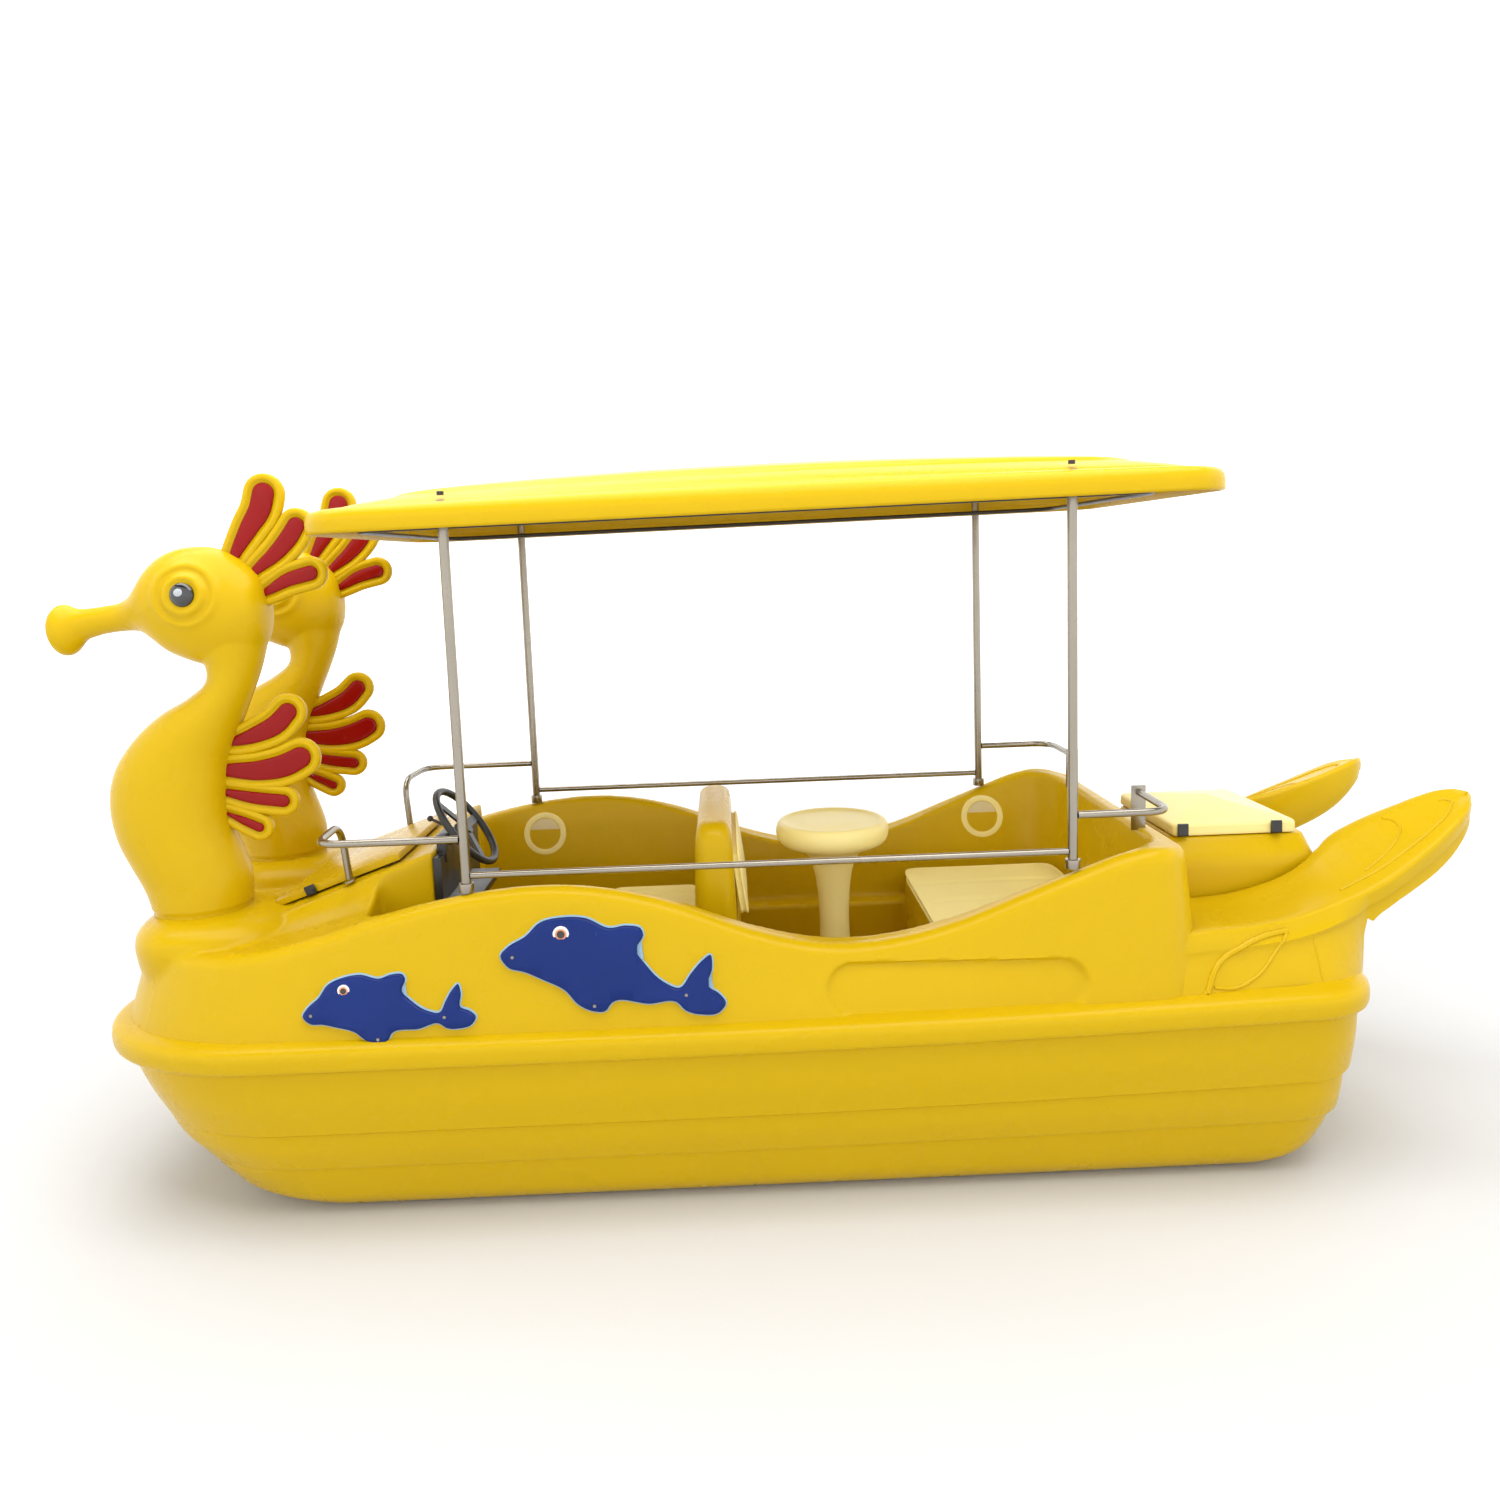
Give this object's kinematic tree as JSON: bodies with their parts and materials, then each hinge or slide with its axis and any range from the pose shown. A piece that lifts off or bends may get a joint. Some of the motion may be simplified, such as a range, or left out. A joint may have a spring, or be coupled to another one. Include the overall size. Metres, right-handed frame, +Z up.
{
  "type": "pedal boat",
  "caption": "Yellow pedal boat with seahorse figureheads, canopy on steel posts, bench seats, table and pedal-driven propeller.",
  "frame": {"origin": "below the middle of the whole boat, in the plane of the skids' undersides", "axes": "+X to the stern, +Y to starboard, +Z up"},
  "size_m": [4.9361, 1.682, 2.474],
  "materials": {
    "hull_plastic": "glossy moulded yellow plastic",
    "inlay": "glossy red plastic",
    "eye": "glossy black dome",
    "dolphin": "glossy blue plastic",
    "white_trim": "glossy white plastic",
    "cream_plastic": "satin cream plastic",
    "tan_plastic": "satin tan plastic",
    "black_plastic": "satin black plastic",
    "stainless": "satin stainless tube",
    "wheel_rubber": "soft black grip",
    "cushion": "cream coated cushion fabric",
    "foam": "white closed cell foam"
  },
  "bodies": {
    "boat": {"hull_lower": "hull_plastic", "deck_upper": "hull_plastic", "rub_rail": "hull_plastic", "seahorse_port": "hull_plastic", "seahorse_starboard": "hull_plastic", "fins_port": "hull_plastic", "fins_starboard": "hull_plastic", "fin_inlays": "inlay", "seahorse_eyes": "eye", "canopy_roof": "hull_plastic", "canopy_frame": "stainless", "canopy_fixings": "black_plastic", "post_front_port": "stainless", "post_front_starboard": "stainless", "post_rear_port": "stainless", "post_rear_starboard": "stainless", "side_rails": "stainless", "bow_rails": "stainless", "stern_rails": "stainless", "rail_fittings": "stainless", "dolphins_port": "dolphin", "dolphins_starboard": "dolphin", "dolphin_eyes": "white_trim", "dolphin_screws": "stainless", "console_panel": "black_plastic", "steering_column": "black_plastic", "front_backrest": "hull_plastic", "front_cushions": "cushion", "rear_cushion": "cushion", "table_top": "cream_plastic", "table_pedestal": "cream_plastic", "inspection_rings": "cream_plastic", "inspection_lids": "tan_plastic", "stern_locker": "hull_plastic", "locker_hinge": "black_plastic", "tail_port": "hull_plastic", "tail_starboard": "hull_plastic", "crank_bearings": "black_plastic", "gearbox": "black_plastic", "shaft_hangers": "stainless", "rudder_tube": "stainless", "steering_cable": "black_plastic", "keel_skids": "wheel_rubber", "drain_plugs": "black_plastic", "buoyancy_foam": "foam"},
    "wheel": {"steering_wheel": "wheel_rubber"},
    "lever": {"drive_lever": "black_plastic"},
    "hatch": {"bow_hatch": "hull_plastic"},
    "hatch_latch": {"bow_latch": "black_plastic"},
    "lid": {"locker_lid": "cream_plastic"},
    "latch_fore": {"locker_latch_fore": "black_plastic"},
    "latch_aft": {"locker_latch_aft": "black_plastic"},
    "crank": {"crankshaft": "stainless"},
    "treadle_1": {"pedal_1": "black_plastic"},
    "treadle_2": {"pedal_2": "black_plastic"},
    "treadle_3": {"pedal_3": "black_plastic"},
    "treadle_4": {"pedal_4": "black_plastic"},
    "screw": {"propeller_shaft": "stainless", "propeller": "black_plastic"},
    "steering_blade": {"rudder": "black_plastic"}
  },
  "joints": [
    {"name": "steering", "type": "hinge", "parent": "boat", "child": "wheel", "pos_m": [-1.118, -0.28, 1.205], "axis": [0.809, 0, 0.5878], "range_deg": [-120, 120]},
    {"name": "drive_selector", "type": "hinge", "parent": "boat", "child": "lever", "pos_m": [-1.118, -0.28, 1.205], "axis": [0.809, 0, 0.5878], "range_deg": [-30, 30]},
    {"name": "rudder_turn", "type": "hinge", "parent": "boat", "child": "steering_blade", "pos_m": [1.73, 0, 0.31], "axis": [0, 0, 1], "range_deg": [-40, 40]},
    {"name": "hatch_hinge", "type": "hinge", "parent": "boat", "child": "hatch", "pos_m": [-1.79062, 0.338, 0.9552], "axis": [-0.9444, 0, -0.3289], "range_deg": [0, 70]},
    {"name": "hatch_latch_turn", "type": "hinge", "parent": "hatch", "child": "hatch_latch", "pos_m": [-1.67663, -0.339, 0.99277], "axis": [0.9444, 0, 0.3289], "range_deg": [0, 60]},
    {"name": "lid_hinge", "type": "hinge", "parent": "boat", "child": "lid", "pos_m": [1.63, 0.292, 1.064], "axis": [-1, 0, 0], "range_deg": [0, 100]},
    {"name": "latch_fore_turn", "type": "hinge", "parent": "boat", "child": "latch_fore", "pos_m": [1.455, -0.282, 1.068], "axis": [1, 0, 0], "range_deg": [0, 90]},
    {"name": "latch_aft_turn", "type": "hinge", "parent": "boat", "child": "latch_aft", "pos_m": [1.795, -0.282, 1.068], "axis": [1, 0, 0], "range_deg": [0, 90]},
    {"name": "crank_turn", "type": "hinge", "parent": "boat", "child": "crank", "pos_m": [-1, 0, 0.61], "axis": [0, 1, 0], "continuous": true},
    {"name": "pedal_1_spin", "type": "hinge", "parent": "crank", "child": "treadle_1", "pos_m": [-1, -0.41, 0.725], "axis": [0, 1, 0], "continuous": true},
    {"name": "pedal_2_spin", "type": "hinge", "parent": "crank", "child": "treadle_2", "pos_m": [-1, -0.28, 0.495], "axis": [0, 1, 0], "continuous": true},
    {"name": "pedal_3_spin", "type": "hinge", "parent": "crank", "child": "treadle_3", "pos_m": [-1, 0.28, 0.725], "axis": [0, 1, 0], "continuous": true},
    {"name": "pedal_4_spin", "type": "hinge", "parent": "crank", "child": "treadle_4", "pos_m": [-1, 0.41, 0.495], "axis": [0, 1, 0], "continuous": true},
    {"name": "propeller_turn", "type": "hinge", "parent": "boat", "child": "screw", "pos_m": [1.415, 0, 0.175], "axis": [1, 0, 0], "continuous": true}
  ],
  "couplings": [
    {"joint": "rudder_turn", "follows": "steering", "ratio": -0.33333},
    {"joint": "propeller_turn", "follows": "crank_turn", "ratio": 6}
  ]
}
